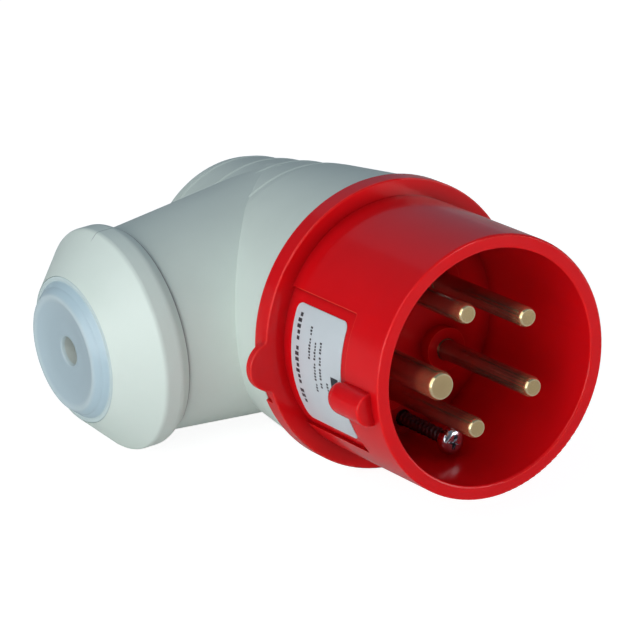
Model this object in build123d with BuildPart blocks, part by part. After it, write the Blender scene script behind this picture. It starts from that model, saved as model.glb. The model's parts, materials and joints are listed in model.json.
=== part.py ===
from build123d import *
import os
from math import asin, atan, atan2, cos, degrees, hypot, radians, sin

# Angled five-pole industrial plug, 16 A. Millimetres.
# It is drawn with the plug axis along Y: the open mouth faces -Y, depths count from the
# rim of the mouth, the cable gland points to -X and Z is up. Each finished piece is then
# laid down as the plug rests on a table: on its flange, its barrel and its gland nut.

# Mating end
mouth_radius = 28.5
shroud_wall = 3.4
wall_draft = 0.5
pin_ring_radius = 14.9
phase_pin_radius = 2.5
earth_pin_radius = 3.5
phase_tip_depth = 1.2
earth_tip_lead = 2.4
tip_inset = 0.5
tip_length = 1.2
floor_depth = 40.2
floor_thickness = 4.2
rim_round = 0.5

# Key nose, flange and label pocket
nose_radius = 4.1
nose_front_depth = 2.9
nose_rear_depth = 17.8
nose_angle = 183.6
nose_round = 0.5
flange_width = 4.1
flange_front_depth = 40.8
flange_thickness = 5.2
flange_round = 0.35
lug_angle = 181.6
lug_radius = 6.2
lug_height = 4.7
lug_thickness = 1.9
lug_blend = 1.0
notch_angle = 195.5
notch_width = 2.8
notch_depth = 0.8
pocket_depth = 0.8
pocket_front_depth = 13.4
pocket_half_width = 17.3
pocket_round = 0.6
label_front_margin = 2.9
label_rear_margin = 3.5
label_side_margin = 2.7
label_round = 1.8
label_thickness = 0.15

# Pin seats and terminals behind the floor
collar_radius = 5.4
collar_height = 3.3
seat_step = 0.2
pin_fit_gap = 0.1
terminal_radius = 4.5
terminal_length = 19.0
wire_hole_radius = 2.1
wire_hole_depth = 13.0
terminal_screw_inset = 7.0
terminal_flat = 3.6
terminal_screw_radius = 1.7
terminal_head_radius = 3.0
terminal_head_height = 2.2
terminal_screw_reach = 4.6
barrier_thickness = 2.0
barrier_radius = 22.0
barrier_length = 23.0
hub_radius = 5.5

# Fixing screws of the insert, backed out as on a new plug
fixing_ring_radius = 24.0
fixing_head_depth = 18.3
fixing_head_radius = 3.2
fixing_head_height = 2.5
fixing_head_round = 1.4
fixing_shank_radius = 1.8
fixing_screw_length = 42.0
recess_half_width = 0.6
recess_reach = 2.1
recess_depth = 1.3

# Tail of the insert, its gasket and the joint to the housing
tail_step = 0.7
tail_wall = 2.8
tail_length = 9.0
gasket_groove_depth = 1.4
gasket_width = 2.4
gasket_inset = 3.0
pillar_radius = 3.6
tail_gap = 1.0

# Elbow housing
housing_wall = 2.6
barrel_front_radius = 35.4
shoulder_depth = 74.0
shoulder_radius = 32.3
step_depth = 77.3
step_radius = 31.6
barrel_rear_radius = 25.9
barrel_rear_round = 3.5
rib_count = 3
rib_pitch = 10.3
rib_height = 0.25
rib_half_width = 0.7
rear_land = 5.3
boss_length = 13.0

# Cable spigot and gland, distances from the plug axis
gland_depth = 84.0
spigot_root_radius = 30.4
spigot_end_radius = 25.4
spigot_end = 47.0
neck_radius = 22.6
neck_bore_radius = 19.6
neck_end = 55.4
spigot_root_bore_radius = 23.2

nut_rear = 47.3
nut_rear_radius = 26.2
nut_rim_radius = 27.8
nut_rim_start = 50.0
nut_rim_end = 54.6
nut_front = 64.0
nut_front_radius = 18.4
nut_wall = 2.5
nut_front_round = 1.6
nut_rear_round = 3.0

cage_wall = 2.7
cage_length = 10.0
cage_flange = 1.2
cage_flange_radius = 21.0
cage_slots = 10
cage_slot_width = 1.6

seal_front = 67.1
seal_front_radius = 14.3
seal_hole_radius = 3.4
seal_lip = 1.1
seal_lip_height = 0.4
seal_rim_width = 1.2
seal_dish = 1.7
seal_membrane = 4.4
seal_sleeve_wall = 2.4
seal_sleeve_length = 9.0
seal_round = 0.3
seal_fit_gap = 0.05

# Gaps between pieces that meet on curved faces
running_gap = 0.3

# Derived sizes
shroud_radius = mouth_radius + shroud_wall
flange_radius = shroud_radius + flange_width
tail_radius = shroud_radius - tail_step
flange_back_depth = flange_front_depth + flange_thickness
floor_back_depth = floor_depth + floor_thickness
collar_front_depth = floor_depth - collar_height
earth_tip_depth = phase_tip_depth - earth_tip_lead
pocket_floor_radius = shroud_radius - pocket_depth
housing_bore_radius = tail_radius + running_gap
barrel_rear_depth = step_depth + rib_count * rib_pitch + rear_land
pillar_end_depth = flange_back_depth + tail_length + tail_gap
pillar_length = pillar_end_depth - floor_back_depth
terminal_end_depth = floor_back_depth + terminal_length
terminal_screw_depth = terminal_end_depth - terminal_screw_inset
nut_bore_radius = neck_radius + running_gap
cage_radius = neck_bore_radius - running_gap
cage_bore_radius = cage_radius - cage_wall
seal_seat = neck_end + cage_flange
seal_body_radius = nut_front_radius - seal_fit_gap

# Poles round the pin circle, as angles from +X towards +Z
pole_step = 72
pole_angles = {"earth": 180, "l3": 108, "l2": 36, "l1": 324, "neutral": 252}
fixing_angles = (90, 270)


def cross_plane(depth):
    """Plane across the plug axis, its normal out of the mouth."""
    return Plane(origin=(0, depth, 0), x_dir=(1, 0, 0), z_dir=(0, -1, 0))


def pole_plane(angle, radius):
    """Plane through an axis beside the plug axis: local X outwards, local Y is depth."""
    out = (cos(radians(angle)), 0, sin(radians(angle)))
    return Plane(
        origin=(radius * out[0], 0, radius * out[2]),
        x_dir=out,
        z_dir=(-out[2], 0, out[0]),
    )


def along_plug(plane):
    """Axis through a plane's origin, parallel to the plug axis."""
    return Axis(plane.origin, (0, 1, 0))


plug_section = Plane.XY
gland_section = Plane(origin=(0, gland_depth, 0), x_dir=(0, 1, 0), z_dir=(0, 0, 1))
gland_axis = Axis((0, gland_depth, 0), (-1, 0, 0))
side_plane = Plane(origin=(-flange_radius, 0, 0), x_dir=(0, 1, 0), z_dir=(-1, 0, 0))


def patch(front, rear, half_width, corner, inner_radius, outer_radius):
    """Round-cornered piece of a thin tube, on the gland side of the shroud."""
    with BuildPart() as sheet:
        with BuildSketch(cross_plane(front)):
            Circle(outer_radius)
            Circle(inner_radius, mode=Mode.SUBTRACT)
        extrude(amount=front - rear)
        with BuildSketch(side_plane):
            with Locations(((front + rear) / 2, 0)):
                RectangleRounded(rear - front, 2 * half_width, corner)
        extrude(amount=-flange_radius, mode=Mode.INTERSECT)
    return sheet


# Key nose on the shroud: a half-round rib with a domed rear end
nose_plane = pole_plane(nose_angle, shroud_radius)
with BuildPart() as nose:
    with BuildSketch(nose_plane) as nose_profile:
        with BuildLine():
            dome_depth = nose_rear_depth - nose_radius
            Polyline((0, nose_rear_depth), (0, nose_front_depth), (nose_radius, nose_front_depth),
                     (nose_radius, dome_depth))
            CenterArc((0, dome_depth), nose_radius, 0, 90)
        make_face()
        fillet(nose_profile.vertices().sort_by_distance((nose_radius, nose_front_depth))[0], nose_round)
    revolve(axis=along_plug(nose_plane))
    with BuildSketch(cross_plane(0)):
        Circle(mouth_radius + shroud_wall / 2)
    extrude(amount=-nose_rear_depth, mode=Mode.SUBTRACT)

pocket = patch(pocket_front_depth, flange_front_depth, pocket_half_width, pocket_round,
               pocket_floor_radius, shroud_radius + pocket_depth)

# Flange with a thin thumb lug on the gland side, level with its front face
with BuildPart() as flange:
    with BuildSketch(cross_plane(flange_front_depth)):
        Circle(flange_radius)
    extrude(amount=-flange_thickness)
    with BuildSketch(cross_plane(flange_front_depth)):
        with PolarLocations(flange_radius + lug_height - lug_radius, 1, lug_angle):
            Circle(lug_radius)
    extrude(amount=-lug_thickness)
    fillet(flange.edges().filter_by(Axis.Y).filter_by_position(Axis.X, -flange_radius, 0), lug_blend)
    flange_ends = flange.faces().filter_by(Axis.Y).sort_by(Axis.Y)
    fillet(flange_ends[0].edges() + flange_ends[-1].edges(), flange_round)
    with BuildSketch(cross_plane(flange_front_depth)):
        Circle(mouth_radius)
    extrude(amount=-flange_thickness, mode=Mode.SUBTRACT)

# Red insert: shroud, flange, pin floor, terminal barriers and the tail that enters the housing
with BuildPart() as contact_insert:
    with BuildSketch(plug_section) as insert_profile:
        with BuildLine():
            Polyline(
                (0, floor_depth), (mouth_radius - wall_draft, floor_depth), (mouth_radius, 0),
                (shroud_radius, 0), (shroud_radius, flange_back_depth),
                (tail_radius, flange_back_depth), (tail_radius, flange_back_depth + tail_length),
                (tail_radius - tail_wall, flange_back_depth + tail_length),
                (tail_radius - tail_wall, floor_back_depth), (0, floor_back_depth), close=True)
        make_face()
        rim_corners = insert_profile.vertices().filter_by_position(Axis.Y, -rim_round, rim_round)
        fillet(rim_corners, rim_round)
    revolve(axis=Axis.Y)
    add(flange.part)
    add(nose.part)
    add(pocket.part, mode=Mode.SUBTRACT)
    with BuildSketch(cross_plane(flange_back_depth)):
        with PolarLocations(flange_radius, 1, notch_angle):
            Rectangle(2 * notch_depth, notch_width)
    extrude(amount=flange_thickness - lug_thickness, mode=Mode.SUBTRACT)
    with BuildSketch(cross_plane(floor_depth)):
        with PolarLocations(pin_ring_radius, len(pole_angles), pole_angles["l2"]):
            Circle(collar_radius)
    extrude(amount=collar_height)
    with BuildSketch(cross_plane(floor_back_depth)):
        Circle(hub_radius)
        for angle in pole_angles.values():
            with Locations(Rotation(0, 0, angle + pole_step / 2)):
                Rectangle(barrier_radius, barrier_thickness, align=(Align.MIN, Align.CENTER))
    extrude(amount=-barrier_length)
    with BuildSketch(cross_plane(floor_back_depth)):
        with PolarLocations(fixing_ring_radius, len(fixing_angles), fixing_angles[0]):
            Circle(pillar_radius)
    extrude(amount=-pillar_length)
    with BuildSketch(cross_plane(floor_depth)):
        with PolarLocations(fixing_ring_radius, len(fixing_angles), fixing_angles[0]):
            Circle(fixing_shank_radius + running_gap)
    extrude(amount=-floor_thickness - pillar_length, mode=Mode.SUBTRACT)
    for pole, angle in pole_angles.items():
        pin_radius = earth_pin_radius if pole == "earth" else phase_pin_radius
        with BuildSketch(cross_plane(floor_back_depth)):
            with PolarLocations(pin_ring_radius, 1, angle):
                Circle(pin_radius + seat_step + pin_fit_gap)
        extrude(amount=floor_thickness + collar_height, mode=Mode.SUBTRACT)
    with BuildSketch(plug_section):
        with Locations((tail_radius, flange_back_depth + gasket_inset)):
            Rectangle(2 * gasket_groove_depth, gasket_width, align=(Align.CENTER, Align.MIN))
    revolve(axis=Axis.Y, mode=Mode.SUBTRACT)

# Flat sealing ring in the groove of the insert's tail
with BuildPart() as front_gasket:
    with BuildSketch(plug_section):
        with Locations((tail_radius, flange_back_depth + gasket_inset)):
            Rectangle(gasket_groove_depth - running_gap, gasket_width, align=(Align.MAX, Align.MIN))
    revolve(axis=Axis.Y)

# Rating label, a thin sheet in its pocket
rating_label = patch(pocket_front_depth + label_front_margin, flange_front_depth - label_rear_margin,
                     pocket_half_width - label_side_margin, label_round,
                     pocket_floor_radius, pocket_floor_radius + label_thickness)


def terminal_seat(angle):
    """Plane on the flat of a terminal, its normal along the clamp screw."""
    plane = pole_plane(angle, pin_ring_radius)
    return Plane(
        origin=plane.from_local_coords(Vector(terminal_flat, terminal_screw_depth, 0)),
        x_dir=(0, 1, 0),
        z_dir=plane.x_dir,
    )


def contact_pin(angle, radius, tip_depth):
    """Turned brass pin with the terminal that clamps one conductor."""
    plane = pole_plane(angle, pin_ring_radius)
    with BuildPart() as pin:
        with BuildSketch(plane):
            with BuildLine():
                Line((0, tip_depth), (radius - tip_inset, tip_depth))
                TangentArc((radius, tip_depth + tip_length), (radius - tip_inset, tip_depth), tangent=(0, -1))
                Polyline(
                    (radius, tip_depth + tip_length),
                    (radius, collar_front_depth), (radius + seat_step, collar_front_depth),
                    (radius + seat_step, floor_back_depth), (terminal_radius, floor_back_depth),
                    (terminal_radius, terminal_end_depth), (wire_hole_radius, terminal_end_depth),
                    (wire_hole_radius, terminal_end_depth - wire_hole_depth),
                    (0, terminal_end_depth - wire_hole_depth), (0, tip_depth))
            make_face()
        revolve(axis=along_plug(plane))
        with BuildSketch(terminal_seat(angle)):
            Rectangle(2 * terminal_screw_inset, 2 * terminal_radius)
        extrude(amount=terminal_radius, mode=Mode.SUBTRACT)
        with BuildSketch(terminal_seat(angle)):
            Circle(terminal_screw_radius + running_gap)
        extrude(amount=-terminal_flat, mode=Mode.SUBTRACT)
    return pin


def slot_cross(half_width, reach):
    """Cross-shaped driver recess, drawn in the running sketch."""
    Rectangle(2 * reach, 2 * half_width)
    Rectangle(2 * half_width, 2 * reach)


pins = {}
for pole, angle in pole_angles.items():
    if pole == "earth":
        pins["pin_" + pole] = contact_pin(angle, earth_pin_radius, earth_tip_depth)
    else:
        pins["pin_" + pole] = contact_pin(angle, phase_pin_radius, phase_tip_depth)

# One clamp screw in each terminal
with BuildPart() as terminal_screws:
    for angle in pole_angles.values():
        seat = terminal_seat(angle)
        with BuildSketch(seat):
            Circle(terminal_head_radius)
        extrude(amount=terminal_head_height)
        with BuildSketch(seat):
            Circle(terminal_screw_radius)
        extrude(amount=-terminal_screw_reach)
        with BuildSketch(seat.offset(terminal_head_height)):
            slot_cross(recess_half_width, recess_reach)
        extrude(amount=-recess_depth, mode=Mode.SUBTRACT)

# Long screws that draw the insert into the housing
with BuildPart() as fixing_screws:
    for angle in fixing_angles:
        plane = pole_plane(angle, fixing_ring_radius)
        with BuildSketch(plane) as screw_profile:
            with BuildLine():
                neck_depth = fixing_head_depth + fixing_head_height
                tip_depth = fixing_head_depth + fixing_screw_length
                Polyline((0, fixing_head_depth), (fixing_head_radius, fixing_head_depth),
                         (fixing_head_radius, neck_depth), (fixing_shank_radius, neck_depth),
                         (fixing_shank_radius, tip_depth), (0, tip_depth), close=True)
            make_face()
            head_edge = (fixing_head_radius, fixing_head_depth)
            fillet(screw_profile.vertices().sort_by_distance(head_edge)[0], fixing_head_round)
        revolve(axis=along_plug(plane))
        driver = Plane(origin=plane.from_local_coords(Vector(0, fixing_head_depth, 0)),
                       x_dir=plane.x_dir, z_dir=(0, -1, 0))
        with BuildSketch(driver):
            slot_cross(recess_half_width, recess_reach)
        extrude(amount=-recess_depth, mode=Mode.SUBTRACT)

# Grey elbow: tapered barrel with stepped grip rings, and the conical spigot for the gland
with BuildPart() as elbow_housing:
    rear_slope = (step_radius - barrel_rear_radius) / (barrel_rear_depth - step_depth)
    with BuildSketch(plug_section) as barrel_profile:
        with BuildLine():
            outline = [(0, flange_back_depth), (barrel_front_radius, flange_back_depth),
                       (shoulder_radius, shoulder_depth)]
            for i in range(rib_count + 1):
                depth = step_depth + i * rib_pitch
                radius = step_radius - rear_slope * i * rib_pitch
                outline += [(radius + rear_slope * rib_half_width, depth - rib_half_width),
                            (radius + rib_height, depth),
                            (radius - rear_slope * rib_half_width, depth + rib_half_width)]
            outline += [(barrel_rear_radius, barrel_rear_depth), (0, barrel_rear_depth)]
            Polyline(*outline, close=True)
        make_face()
        fillet(barrel_profile.vertices().sort_by_distance((barrel_rear_radius, barrel_rear_depth))[0],
               barrel_rear_round)
    revolve(axis=Axis.Y)
    with BuildSketch(gland_section):
        with BuildLine():
            Polyline((0, 0), (spigot_root_radius, 0), (spigot_end_radius, spigot_end),
                     (neck_radius, spigot_end), (neck_radius, neck_end), (0, neck_end), close=True)
        make_face()
    revolve(axis=gland_axis)
    with BuildSketch(plug_section):
        with BuildLine():
            Polyline((0, flange_back_depth), (housing_bore_radius, flange_back_depth),
                     (housing_bore_radius, pillar_end_depth),
                     (step_radius - housing_wall, step_depth),
                     (barrel_rear_radius - housing_wall, barrel_rear_depth - housing_wall),
                     (0, barrel_rear_depth - housing_wall), close=True)
        make_face()
    revolve(axis=Axis.Y, mode=Mode.SUBTRACT)
    with BuildSketch(gland_section):
        with BuildLine():
            Polyline((0, 0), (spigot_root_bore_radius, 0), (neck_bore_radius, spigot_end),
                     (neck_bore_radius, neck_end), (0, neck_end), close=True)
        make_face()
    revolve(axis=gland_axis, mode=Mode.SUBTRACT)
    with BuildSketch(cross_plane(pillar_end_depth)):
        with PolarLocations(fixing_ring_radius, len(fixing_angles), fixing_angles[0]):
            Circle(pillar_radius)
        for side in (-1, 1):
            with Locations((0, side * (fixing_ring_radius + pillar_radius))):
                Rectangle(pillar_radius, 2 * pillar_radius)
    extrude(amount=-boss_length)
    with BuildSketch(cross_plane(pillar_end_depth)):
        with PolarLocations(fixing_ring_radius, len(fixing_angles), fixing_angles[0]):
            Circle(fixing_shank_radius)
    extrude(amount=-boss_length, mode=Mode.SUBTRACT)

# Gland nut: a rounded rim band and a smooth cone down to the opening
cone_slope = (nut_rim_radius - nut_front_radius) / (nut_front - nut_rim_end)
cone_wall = nut_wall * hypot(1, cone_slope)
bore_end = nut_rim_end + (nut_rim_radius - cone_wall - nut_bore_radius) / cone_slope
lip_start = nut_rim_end + (nut_rim_radius - cone_wall - nut_front_radius) / cone_slope
with BuildPart() as gland_nut:
    with BuildSketch(gland_section) as nut_profile:
        with BuildLine():
            Polyline((nut_bore_radius, nut_rear), (nut_rear_radius, nut_rear),
                     (nut_rim_radius, nut_rim_start), (nut_rim_radius, nut_rim_end),
                     (nut_front_radius, nut_front), (nut_front_radius, lip_start),
                     (nut_bore_radius, bore_end), close=True)
        make_face()
        rim_rear = nut_profile.vertices().sort_by_distance((nut_rim_radius, nut_rim_start))[0]
        fillet(rim_rear, nut_rear_round)
        rim_front = nut_profile.vertices().sort_by_distance((nut_rim_radius, nut_rim_end))[0]
        fillet(rim_front, nut_front_round)
    revolve(axis=gland_axis)

# Clamping cage that grips the cable, hung on the end of the spigot
with BuildPart() as clamp_cage:
    with BuildSketch(gland_section):
        with BuildLine():
            Polyline((cage_bore_radius, neck_end - cage_length), (cage_radius, neck_end - cage_length),
                     (cage_radius, neck_end), (cage_flange_radius, neck_end),
                     (cage_flange_radius, seal_seat), (cage_bore_radius, seal_seat), close=True)
        make_face()
    revolve(axis=gland_axis)
    slot_plane = Plane(origin=(-neck_end + cage_length, gland_depth, 0), x_dir=(0, 1, 0), z_dir=(-1, 0, 0))
    with BuildSketch(slot_plane):
        with PolarLocations(0, cage_slots):
            Rectangle(cage_flange_radius, cage_slot_width, align=(Align.MIN, Align.CENTER))
    extrude(amount=cage_length - cage_flange, mode=Mode.SUBTRACT)

# Soft cable seal with a pierced membrane, held by the nut's cone
with BuildPart() as cable_seal:
    sleeve_radius = cage_bore_radius - running_gap
    with BuildSketch(gland_section) as seal_profile:
        with BuildLine():
            dish_floor = seal_front - seal_dish
            membrane_back = dish_floor - seal_membrane
            Polyline(
                (seal_hole_radius, membrane_back), (seal_hole_radius, dish_floor + seal_lip_height),
                (seal_hole_radius + seal_lip, dish_floor + seal_lip_height),
                (seal_hole_radius + seal_lip, dish_floor),
                (seal_front_radius - seal_lip, seal_front - seal_lip_height),
                (seal_front_radius - seal_lip, seal_front),
                (seal_front_radius, seal_front), (seal_body_radius - seal_rim_width, nut_front),
                (seal_body_radius, nut_front), (seal_body_radius, lip_start - running_gap),
                (cage_flange_radius, seal_seat),
                (sleeve_radius, seal_seat), (sleeve_radius, seal_seat - seal_sleeve_length),
                (sleeve_radius - seal_sleeve_wall, seal_seat - seal_sleeve_length),
                (sleeve_radius - seal_sleeve_wall, membrane_back), close=True)
        make_face()
        lip_front = dish_floor + seal_lip_height
        for corner in ((seal_hole_radius, lip_front), (seal_hole_radius + seal_lip, lip_front),
                       (seal_front_radius - seal_lip, seal_front), (seal_front_radius, seal_front)):
            fillet(seal_profile.vertices().sort_by_distance(corner)[0], seal_round)
    revolve(axis=gland_axis)

# Rest on the table: the barrel leans back on its shoulder, then rolls until the nut touches
lean = atan((flange_radius - shoulder_radius) / (shoulder_depth - flange_back_depth))
table_drop = flange_back_depth * sin(lean) + flange_radius * cos(lean)
nut_drop = table_drop - gland_depth * sin(lean)
nut_reach = hypot(nut_rim_end, nut_rim_radius)
roll_tilt = asin(nut_drop / nut_reach) - atan2(nut_rim_radius, nut_rim_end)
roll = asin(sin(roll_tilt) / cos(lean))
rest_pose = Location((0, 0, 0), (-degrees(lean), 0, 0)) * Location((0, 0, 0), (0, -degrees(roll), 0))

pieces = {
    "elbow_housing": elbow_housing,
    "contact_insert": contact_insert,
    "front_gasket": front_gasket,
    "rating_label": rating_label,
    "terminal_screws": terminal_screws,
    "fixing_screws": fixing_screws,
    "gland_nut": gland_nut,
    "clamp_cage": clamp_cage,
    "cable_seal": cable_seal,
    **pins,
}
os.makedirs("parts", exist_ok=True)
for name, piece in pieces.items():
    laid = piece.part.moved(rest_pose)
    laid.label = name
    export_step(laid, f"parts/{name}.step")
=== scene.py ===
import json
import math
import random

import bmesh
import bpy
from mathutils import Matrix, Vector


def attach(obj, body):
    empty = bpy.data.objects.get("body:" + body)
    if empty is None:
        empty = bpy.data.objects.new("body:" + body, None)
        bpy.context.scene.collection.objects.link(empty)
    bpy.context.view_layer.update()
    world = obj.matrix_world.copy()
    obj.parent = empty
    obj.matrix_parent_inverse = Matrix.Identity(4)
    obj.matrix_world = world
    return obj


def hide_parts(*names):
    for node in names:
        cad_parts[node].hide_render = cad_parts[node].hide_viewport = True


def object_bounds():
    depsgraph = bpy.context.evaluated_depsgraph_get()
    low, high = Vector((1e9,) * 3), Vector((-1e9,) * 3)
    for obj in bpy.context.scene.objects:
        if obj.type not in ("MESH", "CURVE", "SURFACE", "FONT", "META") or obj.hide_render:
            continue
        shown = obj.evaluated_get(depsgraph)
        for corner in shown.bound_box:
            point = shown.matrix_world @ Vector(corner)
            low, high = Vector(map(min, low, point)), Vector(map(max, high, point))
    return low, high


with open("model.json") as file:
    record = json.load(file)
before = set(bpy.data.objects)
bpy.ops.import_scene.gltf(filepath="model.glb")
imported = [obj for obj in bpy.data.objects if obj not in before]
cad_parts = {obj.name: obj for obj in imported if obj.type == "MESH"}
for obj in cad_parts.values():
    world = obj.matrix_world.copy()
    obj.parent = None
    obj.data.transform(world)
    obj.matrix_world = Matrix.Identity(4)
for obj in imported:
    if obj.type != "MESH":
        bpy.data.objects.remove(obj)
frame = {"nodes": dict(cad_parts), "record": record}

nodes = frame["nodes"]
cad_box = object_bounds()
MM = 0.001

# Drawing axes of the plug in the row frame: X away from the gland, Y into the plug, Z up
mounts = {m["name"]: m for m in frame["record"]["mounts"]}
depth_axis = -Vector(mounts["socket_way"]["axis"])
side_axis = -Vector(mounts["cable_entry"]["axis"])
up_axis = side_axis.cross(depth_axis)
POSE = Matrix((side_axis, depth_axis, up_axis)).transposed().to_4x4()

# Sizes of the plug that the added pieces sit on, in millimetres
LABEL_RADIUS = 31.25
GLAND = (0.0, 84.0, 0.0)
SEAL_OUTER_RADIUS = 18.4
FIXING_RING = 24.0
FIXING_ANGLES = (90, 270)
HEAD_DEPTH = 18.3
HEAD_RADIUS, HEAD_HEIGHT, HEAD_ROUND = 3.5, 2.5, 1.7
SHANK_RADIUS, SCREW_LENGTH = 1.8, 42.0
THREAD_PITCH, THREAD_HEIGHT = 1.6, 0.45
RECESS_DEPTH = 1.5

# Places of the painted shade on the pin shafts and at the nut's rear edge, and of the nut's parting line, in
# millimetres
# painted shade on the pin shafts: where it starts behind the tip and where it is full
SHAFT_SHADE_START, SHAFT_SHADE_FULL = 3.2, 5.8
NUT_REAR = 47.4
PARTING_NORMAL = (0, 0.9994, 0.0349)
PARTING_LOW = 20.0
PARTING_FRONT = 56.6


# Materials
def new_material(name):
    mat = bpy.data.materials.new(name)
    mat.use_nodes = True
    tree = mat.node_tree
    tree.nodes.clear()
    out = tree.nodes.new("ShaderNodeOutputMaterial")
    bsdf = tree.nodes.new("ShaderNodeBsdfPrincipled")
    tree.links.new(bsdf.outputs["BSDF"], out.inputs["Surface"])
    return mat, tree, bsdf


def noise(tree, size_mm, detail=2.0, rough=0.5, stretch=None):
    """Object-space noise whose features are about size_mm across."""
    coord = tree.nodes.new("ShaderNodeTexCoord")
    node = tree.nodes.new("ShaderNodeTexNoise")
    node.inputs["Scale"].default_value = 1.0 / (size_mm * MM)
    node.inputs["Detail"].default_value = detail
    node.inputs["Roughness"].default_value = rough
    if stretch is None:
        tree.links.new(coord.outputs["Object"], node.inputs["Vector"])
    else:
        mapping = tree.nodes.new("ShaderNodeMapping")
        mapping.vector_type = "TEXTURE"
        mapping.inputs["Rotation"].default_value = POSE.to_euler()
        mapping.inputs["Scale"].default_value = stretch
        tree.links.new(coord.outputs["Object"], mapping.inputs["Vector"])
        tree.links.new(mapping.outputs["Vector"], node.inputs["Vector"])
    return node.outputs["Fac"]


def ramp(tree, fac, stops):
    """Colour ramp through (position, colour) stops."""
    node = tree.nodes.new("ShaderNodeValToRGB")
    band = node.color_ramp
    while len(band.elements) < len(stops):
        band.elements.new(0.5)
    for element, (place, colour) in zip(band.elements, stops):
        element.position = place
        element.color = (*colour, 1.0)
    tree.links.new(fac, node.inputs["Fac"])
    return node.outputs["Color"]


def span(tree, fac, low, high):
    """Maps a factor to a number between low and high."""
    node = tree.nodes.new("ShaderNodeMapRange")
    node.inputs["From Min"].default_value = 0.3
    node.inputs["From Max"].default_value = 0.7
    node.inputs["To Min"].default_value = low
    node.inputs["To Max"].default_value = high
    tree.links.new(fac, node.inputs["Value"])
    return node.outputs["Result"]


def bump(tree, bsdf, height, depth_mm, strength=1.0):
    node = tree.nodes.new("ShaderNodeBump")
    node.inputs["Strength"].default_value = strength
    node.inputs["Distance"].default_value = depth_mm * MM
    tree.links.new(height, node.inputs["Height"])
    tree.links.new(node.outputs["Normal"], bsdf.inputs["Normal"])


def srgb(r, g, b):
    """Linear colour of an 8-bit screen colour."""
    def one(c):
        c /= 255.0
        return c / 12.92 if c <= 0.04045 else ((c + 0.055) / 1.055) ** 2.4
    return (one(r), one(g), one(b))


def moulded(name, rough, grain_mm, grain_depth_mm, patch_mm=18.0):
    """Moulded surface: fine spark-eroded grain, uneven polish."""
    mat, tree, bsdf = new_material(name)
    tree.links.new(span(tree, noise(tree, patch_mm / 3, 4.0), *rough), bsdf.inputs["Roughness"])
    bump(tree, bsdf, noise(tree, grain_mm, 3.0, 0.6), grain_depth_mm)
    return mat, tree, bsdf


def plastic(name, dark, light, rough, grain_mm, grain_depth_mm, patch_mm=18.0):
    """Moulded plastic with a faint colour drift."""
    mat, tree, bsdf = moulded(name, rough, grain_mm, grain_depth_mm, patch_mm)
    drift = ramp(tree, noise(tree, patch_mm, 3.0), [(0.3, dark), (0.7, light)])
    tree.links.new(drift, bsdf.inputs["Base Color"])
    return mat, tree, bsdf


def metal(name, dark, light, rough, grain_mm, stretch, grain_depth_mm):
    """Turned or plated metal: colour drift, fine tool marks."""
    mat, tree, bsdf = new_material(name)
    bsdf.inputs["Metallic"].default_value = 1.0
    drift = ramp(tree, noise(tree, 5.0, 3.0), [(0.3, dark), (0.7, light)])
    tree.links.new(drift, bsdf.inputs["Base Color"])
    tree.links.new(span(tree, noise(tree, 1.5, 3.0), *rough), bsdf.inputs["Roughness"])
    bump(tree, bsdf, noise(tree, grain_mm, 2.0, 0.5, stretch), grain_depth_mm)
    return mat, tree, bsdf


def drawn_mm(tree, origin=(0, 0, 0)):
    """Place in the plug's own axes, in millimetres from an origin there."""
    coord = tree.nodes.new("ShaderNodeTexCoord")
    turned = tree.nodes.new("ShaderNodeMapping")
    turned.vector_type = "TEXTURE"
    turned.inputs["Location"].default_value = POSE @ Vector(origin) * MM
    turned.inputs["Rotation"].default_value = POSE.to_euler()
    turned.inputs["Scale"].default_value = (MM, MM, MM)
    tree.links.new(coord.outputs["Object"], turned.inputs["Vector"])
    return turned.outputs["Vector"]


def along(tree, origin, direction):
    """How far a place lies along a direction in the plug's own axes, in millimetres."""
    node = tree.nodes.new("ShaderNodeVectorMath")
    node.operation = "DOT_PRODUCT"
    node.inputs[1].default_value = direction
    tree.links.new(drawn_mm(tree, origin), node.inputs[0])
    return node.outputs["Value"]


def gland_radius(tree):
    """Distance from the gland axis in millimetres."""
    flat = tree.nodes.new("ShaderNodeVectorMath")
    flat.operation = "MULTIPLY"
    flat.inputs[1].default_value = (0, 1, 1)
    length = tree.nodes.new("ShaderNodeVectorMath")
    length.operation = "LENGTH"
    tree.links.new(drawn_mm(tree, GLAND), flat.inputs[0])
    tree.links.new(flat.outputs["Vector"], length.inputs[0])
    return length.outputs["Value"]


def fade(tree, value, start, end):
    """Rises from 0 at start to 1 at end."""
    node = tree.nodes.new("ShaderNodeMapRange")
    node.inputs["From Min"].default_value = start
    node.inputs["From Max"].default_value = end
    tree.links.new(value, node.inputs["Value"])
    return node.outputs["Result"]


def math_of(tree, operation, first, second=None):
    node = tree.nodes.new("ShaderNodeMath")
    node.operation = operation
    tree.links.new(first, node.inputs[0])
    if second is not None:
        tree.links.new(second, node.inputs[1])
    return node.outputs[0]


def blend(tree, bsdf, factor, colour):
    """Mixes another colour into the base colour."""
    mix = tree.nodes.new("ShaderNodeMix")
    mix.data_type = "RGBA"
    tree.links.new(factor, mix.inputs["Factor"])
    tree.links.new(bsdf.inputs["Base Color"].links[0].from_socket, mix.inputs["A"])
    if isinstance(colour, tuple):
        mix.inputs["B"].default_value = (*colour, 1.0)
    else:
        tree.links.new(colour, mix.inputs["B"])
    tree.links.new(mix.outputs["Result"], bsdf.inputs["Base Color"])


def openness(tree, reach_mm):
    """1 on open surfaces, lower in inner corners."""
    node = tree.nodes.new("ShaderNodeAmbientOcclusion")
    node.samples = 4
    node.inputs["Distance"].default_value = reach_mm * MM
    return node.outputs["AO"]


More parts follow.
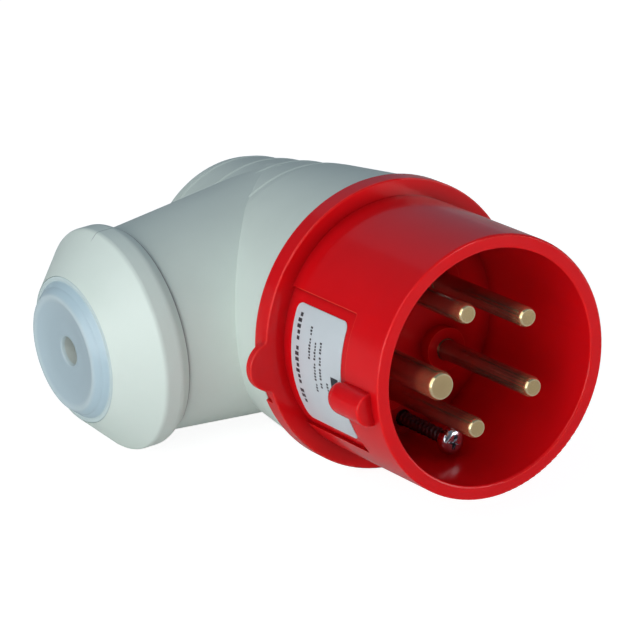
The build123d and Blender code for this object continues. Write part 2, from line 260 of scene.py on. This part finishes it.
def edges(tree, radius_mm):
    """Rises to 1 on the edges of a piece."""
    rounded = tree.nodes.new("ShaderNodeBevel")
    rounded.samples = 4
    rounded.inputs["Radius"].default_value = radius_mm * MM
    plain = tree.nodes.new("ShaderNodeNewGeometry")
    same = tree.nodes.new("ShaderNodeVectorMath")
    same.operation = "DOT_PRODUCT"
    tree.links.new(rounded.outputs["Normal"], same.inputs[0])
    tree.links.new(plain.outputs["Normal"], same.inputs[1])
    return fade(tree, same.outputs["Value"], 0.99, 0.93)


def turned_brass(name):
    """Brass pins with a painted highlight on the rounded edge near the tip, and painted shade with a painted
    red reflection of the cup down the shaft behind it.
    """
    along_pin = (1.0, 0.12, 1.0)
    mat, tree, bsdf = metal(name, srgb(210, 183, 136), srgb(220, 193, 144), (0.17, 0.23),
                            0.3, along_pin, 0.0004)
    bsdf.inputs["Metallic"].default_value = 0.86
    # shaft colour: painted shade and painted red reflection of the cup, darker and redder than the tip
    shaft = ramp(tree, noise(tree, 3.0, 3.0), [(0.3, srgb(158, 112, 94)), (0.7, srgb(172, 126, 106))])
    depth = along(tree, (0, 0, 0), (0, 1, 0))
    # painted highlight: near-white brass on the rounded edge near the tip
    tip = math_of(tree, "MULTIPLY", edges(tree, 0.7), fade(tree, depth, SHAFT_SHADE_FULL, SHAFT_SHADE_START))
    blend(tree, bsdf, tip, srgb(252, 238, 198))
    # painted shade and painted red reflection down the shaft, from a few millimetres behind the tip
    blend(tree, bsdf, fade(tree, depth, SHAFT_SHADE_START, SHAFT_SHADE_FULL), shaft)
    return mat


def moulded_nut(name):
    """Grey nut with painted shade along its rear edge where it meets the spigot, and a fine parting line
    over the top.
    """
    mat, tree, bsdf = plastic(name, srgb(215, 228, 219), srgb(220, 232, 224), (0.40, 0.48), 0.35, 0.008)
    place = along(tree, GLAND, (1, 0, 0))
    # painted shade: a dark band along the nut's rear edge, where shade falls in the gap to the spigot
    blend(tree, bsdf, fade(tree, place, -NUT_REAR - 0.3, -NUT_REAR), srgb(112, 110, 112))
    off_line = math_of(tree, "ABSOLUTE", along(tree, GLAND, PARTING_NORMAL))
    line = fade(tree, off_line, 0.16, 0.06)
    upper = fade(tree, along(tree, GLAND, (0, 0, 1)), PARTING_LOW, PARTING_LOW + 1.0)
    rear = fade(tree, place, -PARTING_FRONT, -PARTING_FRONT + 0.8)
    line_above = math_of(tree, "MULTIPLY", line, upper)
    blend(tree, bsdf, math_of(tree, "MULTIPLY", line_above, rear), srgb(158, 168, 166))
    return mat


def soft_seal(name):
    """Milky soft plastic coloured in rings about the gland axis: the dish darker as painted shade, the
    shoulder lip and the hole's lip paler as painted highlight, the outer ring paler, and the hole's wall
    pale as painted light.
    """
    mat, tree, bsdf = moulded(name, (0.22, 0.26), 1.5, 0.0004)
    share = tree.nodes.new("ShaderNodeMath")
    share.operation = "DIVIDE"
    share.inputs[1].default_value = SEAL_OUTER_RADIUS
    tree.links.new(gland_radius(tree), share.inputs[0])
    dish, edge, lip = srgb(168, 187, 194), srgb(190, 206, 208), srgb(188, 205, 209)
    band, ring = srgb(180, 203, 212), srgb(196, 212, 211)
    slope = srgb(175, 194, 201)
    zones = [(0.0, edge), (3.5, edge), (4.1, dish), (8.5, dish), (12.6, slope),
             (13.5, lip), (14.3, lip), (15.0, band), (16.9, band), (17.3, ring)]
    stops = [(radius / SEAL_OUTER_RADIUS, colour) for radius, colour in zones]
    # ring colours: painted shade in the dish and painted highlight on the shoulder lip and the hole's lip
    painted_ring_colours = ramp(tree, share.outputs[0], stops)
    tree.links.new(painted_ring_colours, bsdf.inputs["Base Color"])
    # painted light: the hole's wall is painted pale against the shade inside it
    inside = fade(tree, along(tree, GLAND, (1, 0, 0)), -64.7, -64.4)
    hole = fade(tree, gland_radius(tree), 3.9, 3.7)
    blend(tree, bsdf, math_of(tree, "MULTIPLY", inside, hole), srgb(186, 194, 188))
    return mat


grey_shell, _, _ = plastic("grey_shell", srgb(206, 218, 210), srgb(211, 223, 215), (0.44, 0.52), 0.35, 0.010)
grey_nut = moulded_nut("grey_nut")
red_insert, red_tree, red_bsdf = plastic("red_insert", srgb(209, 11, 19), srgb(215, 14, 22),
                                         (0.22, 0.27), 1.2, 0.0002)
# painted shade: the red is darkened towards inner corners and recesses
red_open = openness(red_tree, 4.0)
blend(red_tree, red_bsdf, fade(red_tree, red_open, 0.95, 0.4), srgb(168, 7, 15))
# painted highlight: pale orange glints painted on the open edges of the red
red_edge_glints = math_of(red_tree, "MULTIPLY", edges(red_tree, 0.35), fade(red_tree, red_open, 0.75, 0.95))
blend(red_tree, red_bsdf, red_edge_glints, srgb(232, 66, 52))
red_bsdf.inputs["Specular IOR Level"].default_value = 0.14
red_bsdf.inputs["Subsurface Weight"].default_value = 0.5
red_bsdf.inputs["Subsurface Radius"].default_value = (1.0, 0.12, 0.08)
red_bsdf.inputs["Subsurface Scale"].default_value = 0.0025
red_bsdf.inputs["Coat Weight"].default_value = 0.27
red_bsdf.inputs["Coat Roughness"].default_value = 0.09
gasket, _, _ = plastic("gasket", srgb(36, 36, 38), srgb(46, 46, 48), (0.6, 0.7), 0.4, 0.02)
cage, _, _ = plastic("cage", srgb(205, 205, 198), srgb(214, 214, 208), (0.45, 0.55), 0.4, 0.01)
label, _, _ = plastic("label", srgb(194, 203, 207), srgb(201, 209, 213), (0.3, 0.38), 0.25, 0.003)
ink, _, _ = plastic("ink", srgb(28, 30, 36), srgb(52, 54, 62), (0.4, 0.55), 0.15, 0.002, patch_mm=0.8)
seal = soft_seal("seal")
brass = turned_brass("brass")
steel, _, _ = metal("steel", srgb(186, 190, 198), srgb(208, 211, 217), (0.10, 0.18), 0.3, None, 0.002)
# rougher steel for the screw shanks; its darker colour is painted shade where the shanks lie deep in the cup
dull_and_shaded_steel, _, _ = metal("dull_and_shaded_steel", srgb(84, 82, 86), srgb(104, 102, 106), (0.38, 0.48), 0.3, None, 0.002)

finish = {
    "elbow_housing": grey_shell,
    "contact_insert": red_insert,
    "front_gasket": gasket,
    "rating_label": label,
    "terminal_screws": steel,
    "fixing_screws": steel,
    "gland_nut": grey_nut,
    "clamp_cage": cage,
    "cable_seal": seal,
}
for name, node in nodes.items():
    mat = finish.get(name, brass)
    node.data.materials.clear()
    node.data.materials.append(mat)


# Added pieces
def soften(mesh):
    """Smooth shading with crisp edges."""
    mesh.shade_smooth()
    mesh.set_sharp_from_angle(angle=math.radians(35))


def shape(name, mesh_builder):
    """Mesh drawn in the plug's own axes in millimetres, laid in the row frame."""
    bm = bmesh.new()
    mesh_builder(bm)
    bmesh.ops.recalc_face_normals(bm, faces=bm.faces)
    bm.transform(POSE @ Matrix.Scale(MM, 4))
    mesh = bpy.data.meshes.new(name)
    bm.to_mesh(mesh)
    bm.free()
    soften(mesh)
    obj = bpy.data.objects.new(name, mesh)
    bpy.context.scene.collection.objects.link(obj)
    return obj


def piece(name, mesh_builder, mat):
    """Visible piece fixed to the plug."""
    obj = shape(name, mesh_builder)
    obj.data.materials.append(mat)
    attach(obj, "root")
    return obj


def label_point(angle, depth, height):
    """Point on the label: angle in degrees up from the gland side, depth from the rim."""
    a = math.radians(180 - angle)
    r = LABEL_RADIUS + height
    return Vector((r * math.cos(a), depth, r * math.sin(a)))


def bar(bm, angle0, angle1, depth0, depth1, thick=0.02):
    """Thin printed block that follows the label."""
    steps = max(1, int(abs(angle1 - angle0) / 1.5))
    rows = []
    for i in range(steps + 1):
        a = angle0 + (angle1 - angle0) * i / steps
        rows.append([bm.verts.new(label_point(a, d, h))
                     for d, h in ((depth0, 0), (depth0, thick), (depth1, thick), (depth1, 0))])
    for a, b in zip(rows, rows[1:]):
        for k in range(4):
            bm.faces.new((a[k], a[(k + 1) % 4], b[(k + 1) % 4], b[k]))
    bm.faces.new(rows[0])
    bm.faces.new(list(reversed(rows[-1])))


def label_print(bm):
    """Rows of plain bars in place of print: depth, bar height, first and last angle of each row."""
    rng = random.Random(7)
    degree = math.degrees(1.0 / LABEL_RADIUS)
    lines = ((34.1, 1.5, 24.0, -22.0), (29.2, 0.8, 20.0, 4.0), (26.9, 0.8, 14.0, -9.0),
             (24.6, 0.8, 15.0, -6.0), (22.0, 0.8, -2.0, -10.0))
    for depth, high, start, end in lines:
        angle = start
        while angle > end:
            word = rng.randint(3, 7)
            for _ in range(word):
                wide = 0.62 * high * degree
                if angle - wide < end:
                    break
                bar(bm, angle, angle - wide, depth, depth + high * rng.choice((0.7, 1.0, 1.0)))
                angle -= wide + 0.32 * high * degree
            angle -= 0.7 * high * degree
    bar(bm, 2.0, -14.0, 17.6, 20.6)


piece("label_print", label_print, ink)


def screw_frame(angle):
    """Axes of one fixing screw: its own Z runs along the screw, from the head to the tip."""
    a = math.radians(angle)
    place = Matrix.Translation((FIXING_RING * math.cos(a), HEAD_DEPTH, FIXING_RING * math.sin(a)))
    return place @ Matrix.Rotation(math.radians(-90), 4, "X") @ Matrix.Rotation(math.radians(20), 4, "Z")


def rings_to_mesh(bm, frame_matrix, rings):
    """Closed skin over a list of rings of points."""
    rows = [[bm.verts.new(frame_matrix @ Vector(p)) for p in ring] for ring in rings]
    count = len(rows[0])
    for a, b in zip(rows, rows[1:]):
        for k in range(count):
            bm.faces.new((a[k], a[(k + 1) % count], b[(k + 1) % count], b[k]))
    bm.faces.new(rows[0])
    bm.faces.new(list(reversed(rows[-1])))


def circle(radius, height, count=48):
    return [(radius * math.cos(t), radius * math.sin(t), height)
            for t in (2 * math.pi * k / count for k in range(count))]


def screw_heads(bm):
    """Pan heads: a flat face, a round shoulder and a straight edge."""
    shoulder = [(HEAD_RADIUS - HEAD_ROUND * (1 - math.sin(t)), HEAD_ROUND * (1 - math.cos(t)))
                for t in (math.pi / 2 * k / 8 for k in range(9))]
    profile = shoulder + [(HEAD_RADIUS, HEAD_HEIGHT - 0.2), (HEAD_RADIUS - 0.2, HEAD_HEIGHT)]
    for angle in FIXING_ANGLES:
        rings_to_mesh(bm, screw_frame(angle), [circle(r, h) for r, h in profile])


def screw_threads(bm):
    """Shanks with a rolled thread that fades in under the head and out at the tip."""
    count, steps = 32, 8
    for angle in FIXING_ANGLES:
        rings = []
        rows = int((SCREW_LENGTH - HEAD_HEIGHT) / THREAD_PITCH * steps)
        for i in range(rows + 1):
            height = HEAD_HEIGHT - 0.05 + i * (SCREW_LENGTH - HEAD_HEIGHT + 0.05) / rows
            share = min(1.0, i / steps, (rows - i) / steps)
            ring = []
            for k in range(count):
                turn = (height / THREAD_PITCH - k / count) % 1.0
                crest = max(0.0, 1.0 - abs(2.0 * turn - 1.0) * 1.6)
                r = SHANK_RADIUS - THREAD_HEIGHT * (1.0 - crest * share)
                t = 2 * math.pi * k / count
                ring.append((r * math.cos(t), r * math.sin(t), height))
            rings.append(ring)
        rings_to_mesh(bm, screw_frame(angle), rings)


def driver_wings(turn):
    """Cutter for one pair of wings of the cross recess: wide at the face, narrow at the bottom."""
    def build(bm):
        for angle in FIXING_ANGLES:
            at = screw_frame(angle) @ Matrix.Rotation(math.radians(turn), 4, "Z")
            rings = []
            for height, reach, half in ((-0.5, 2.15, 0.62), (RECESS_DEPTH, 0.75, 0.3)):
                rings.append([(reach, half, height), (-reach, half, height),
                              (-reach, -half, height), (reach, -half, height)])
            rings_to_mesh(bm, at, rings)
    return build


def cut_away(obj, mesh_builder):
    """Cuts a closed form out of a piece."""
    cutter = shape("cutter", mesh_builder)
    step = obj.modifiers.new("cut", "BOOLEAN")
    step.object = cutter
    step.solver = "EXACT"
    bpy.context.view_layer.update()
    cut = bpy.data.meshes.new_from_object(obj.evaluated_get(bpy.context.evaluated_depsgraph_get()))
    obj.modifiers.clear()
    obj.data = cut
    soften(cut)
    bpy.data.objects.remove(cutter)


def turned_seal(bm):
    """Seal turned about the gland axis: hole, bowl, round shoulder, stepped slope, flat ring and sleeve."""
    section = [(3.4, 61.0), (3.4, 64.4), (3.65, 65.15), (3.72, 65.3), (3.9, 65.42)]
    section += [(3.9 + 0.78 * k, 65.42 + 1.5 * (k / 12) ** 2) for k in range(1, 13)]
    section += [(13.5, 67.02), (13.8, 67.08), (14.1, 67.1), (14.4, 67.05), (14.65, 66.9)]
    section += [(15.7, 65.75), (15.85, 65.55), (15.95, 65.3), (16.1, 65.2), (16.9, 64.35), (17.05, 64.1)]
    section += [(17.2, 64.0), (17.35, 64.05), (17.6, 64.1), (17.95, 64.1), (18.2, 64.02), (18.35, 63.8)]
    section += [(18.35, 60.16), (21.0, 56.6), (16.3, 56.6), (16.3, 47.6), (13.9, 47.6), (13.9, 61.0)]
    count = 128
    rows = []
    for k in range(count):
        t = 2 * math.pi * k / count
        rows.append([])
        for radius, height in section:
            offset = Vector((-height, radius * math.cos(t), radius * math.sin(t)))
            rows[-1].append(bm.verts.new(Vector(GLAND) + offset))
    for a, b in zip(rows, rows[1:] + rows[:1]):
        for k in range(len(section)):
            nxt = (k + 1) % len(section)
            bm.faces.new((a[k], a[nxt], b[nxt], b[k]))


soft = piece("seal_skin", turned_seal, seal)
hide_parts("cable_seal")
heads = piece("screw_heads", screw_heads, steel)
for turn in (0, 90):
    cut_away(heads, driver_wings(turn))
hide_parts("fixing_screws")
threads = piece("screw_threads", screw_threads, dull_and_shaded_steel)
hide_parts("fixing_screws")


# Stage, light and camera
FLOOR_Z = cad_box[0][2] - 0.0002
FLOOR_BOUNCE = (0.9, 0.9, 0.9, 1)
FLOOR_SEEN = (0.35, 0.35, 0.35, 1)
GLOW_TO_CAMERA, GLOW_IN_MIRRORS = 0.9, 0.15
bpy.ops.mesh.primitive_plane_add(size=24.0, location=(0, 0, FLOOR_Z))
floor = bpy.context.object
floor.name = "floor"
floor_mat = bpy.data.materials.new("floor")
floor_mat.use_nodes = True
floor_tree = floor_mat.node_tree
floor_tree.nodes.clear()
floor_out = floor_tree.nodes.new("ShaderNodeOutputMaterial")
floor_diffuse = floor_tree.nodes.new("ShaderNodeBsdfDiffuse")
floor_shade = floor_tree.nodes.new("ShaderNodeMix")
floor_shade.data_type = "RGBA"
floor_shade.inputs["A"].default_value = FLOOR_BOUNCE
floor_shade.inputs["B"].default_value = FLOOR_SEEN
floor_emission = floor_tree.nodes.new("ShaderNodeEmission")
floor_sum = floor_tree.nodes.new("ShaderNodeAddShader")
floor_rays = floor_tree.nodes.new("ShaderNodeLightPath")
mirror_ray = floor_tree.nodes.new("ShaderNodeMath")
mirror_ray.operation = "MAXIMUM"
seen_ray = floor_tree.nodes.new("ShaderNodeMath")
seen_ray.operation = "MAXIMUM"
mirror_glow = floor_tree.nodes.new("ShaderNodeMath")
mirror_glow.operation = "MULTIPLY"
mirror_glow.inputs[1].default_value = GLOW_IN_MIRRORS
floor_glow = floor_tree.nodes.new("ShaderNodeMath")
floor_glow.operation = "MULTIPLY_ADD"
floor_glow.inputs[1].default_value = GLOW_TO_CAMERA
floor_tree.links.new(floor_rays.outputs["Is Camera Ray"], seen_ray.inputs[0])
floor_tree.links.new(mirror_ray.outputs[0], seen_ray.inputs[1])
floor_tree.links.new(seen_ray.outputs[0], floor_shade.inputs["Factor"])
floor_tree.links.new(floor_shade.outputs["Result"], floor_diffuse.inputs["Color"])
floor_tree.links.new(floor_rays.outputs["Is Glossy Ray"], mirror_ray.inputs[0])
floor_tree.links.new(floor_rays.outputs["Is Transmission Ray"], mirror_ray.inputs[1])
floor_tree.links.new(mirror_ray.outputs[0], mirror_glow.inputs[0])
floor_tree.links.new(floor_rays.outputs["Is Camera Ray"], floor_glow.inputs[0])
floor_tree.links.new(mirror_glow.outputs[0], floor_glow.inputs[2])
floor_tree.links.new(floor_glow.outputs[0], floor_emission.inputs["Strength"])
floor_tree.links.new(floor_diffuse.outputs[0], floor_sum.inputs[0])
floor_tree.links.new(floor_emission.outputs[0], floor_sum.inputs[1])
floor_tree.links.new(floor_sum.outputs[0], floor_out.inputs["Surface"])
floor.data.materials.append(floor_mat)

scene = bpy.context.scene
world = bpy.data.worlds.new("studio")
scene.world = world
world.use_nodes = True
world_tree = world.node_tree
world_tree.nodes.clear()
world_out = world_tree.nodes.new("ShaderNodeOutputWorld")
sky = world_tree.nodes.new("ShaderNodeBackground")
sky_coord = world_tree.nodes.new("ShaderNodeTexCoord")
sky_height = world_tree.nodes.new("ShaderNodeSeparateXYZ")
sky_ramp = world_tree.nodes.new("ShaderNodeValToRGB")
sky_ramp.color_ramp.elements[0].position = 0.0
sky_ramp.color_ramp.elements[0].color = (0.05, 0.05, 0.052, 1)
sky_ramp.color_ramp.elements[1].position = 0.8
sky_ramp.color_ramp.elements[1].color = (0.15, 0.19, 0.235, 1)
world_tree.links.new(sky_coord.outputs["Generated"], sky_height.inputs[0])
world_tree.links.new(sky_height.outputs["Z"], sky_ramp.inputs["Fac"])
world_tree.links.new(sky_ramp.outputs["Color"], sky.inputs["Color"])
world_tree.links.new(sky.outputs[0], world_out.inputs["Surface"])

middle = (Vector(cad_box[0]) + Vector(cad_box[1])) / 2


def softbox(name, place, size, power, colour=(1, 1, 1)):
    data = bpy.data.lights.new(name, "AREA")
    data.shape = "SQUARE"
    data.size = size
    data.energy = power
    data.color = colour
    lamp = bpy.data.objects.new(name, data)
    lamp.location = place
    lamp.rotation_euler = (middle - Vector(place)).to_track_quat("-Z", "Y").to_euler()
    scene.collection.objects.link(lamp)


softbox("key_high", (-0.80, -0.20, 0.75), 0.8, 3.5, (0.98, 0.99, 1.0))
softbox("key_low", (-0.90, -0.70, 0.08), 0.8, 6.0)
softbox("side_left", (-1.10, 0.05, 0.06), 0.8, 4.6)
softbox("front_right", (0.80, -0.80, 0.08), 0.8, 8.6)
softbox("rear", (0.65, 1.00, 0.45), 1.6, 1.6, (0.55, 0.75, 1.0))

table_spot = bpy.data.lights.new("table_spot", "SPOT")
table_spot.energy = 16.0
table_spot.spot_size = math.radians(40)
table_spot.spot_blend = 0.6
table_spot.shadow_soft_size = 0.03
table_lamp = bpy.data.objects.new("table_spot", table_spot)
table_lamp.location = (-0.18, -0.18, 0.45)
scene.collection.objects.link(table_lamp)

CAMERA_PLACE = Vector((-0.46145, -0.61872, 0.37007))
CAMERA_AIM = Vector((-0.03099, 0.02574, 0.00899))
CAMERA_ROLL = math.radians(-1.709)
CAMERA_FOCUS_PX = 3700.0
IMAGE_PX = 640
camera_data = bpy.data.cameras.new("camera")
camera_data.sensor_width = 36.0
camera_data.lens = CAMERA_FOCUS_PX / IMAGE_PX * camera_data.sensor_width
camera_data.clip_start = 0.01
camera = bpy.data.objects.new("camera", camera_data)
look = (CAMERA_AIM - CAMERA_PLACE).normalized()
level = look.cross(Vector((0, 0, 1))).normalized()
upright = level.cross(look)
cam_up = upright * math.cos(CAMERA_ROLL) + level * math.sin(CAMERA_ROLL)
cam_right = look.cross(cam_up)
cam_turn = Matrix((cam_right, cam_up, -look)).transposed().to_4x4()
camera.matrix_world = Matrix.Translation(CAMERA_PLACE) @ cam_turn
scene.collection.objects.link(camera)
scene.camera = camera
scene.view_settings.view_transform = "Standard"
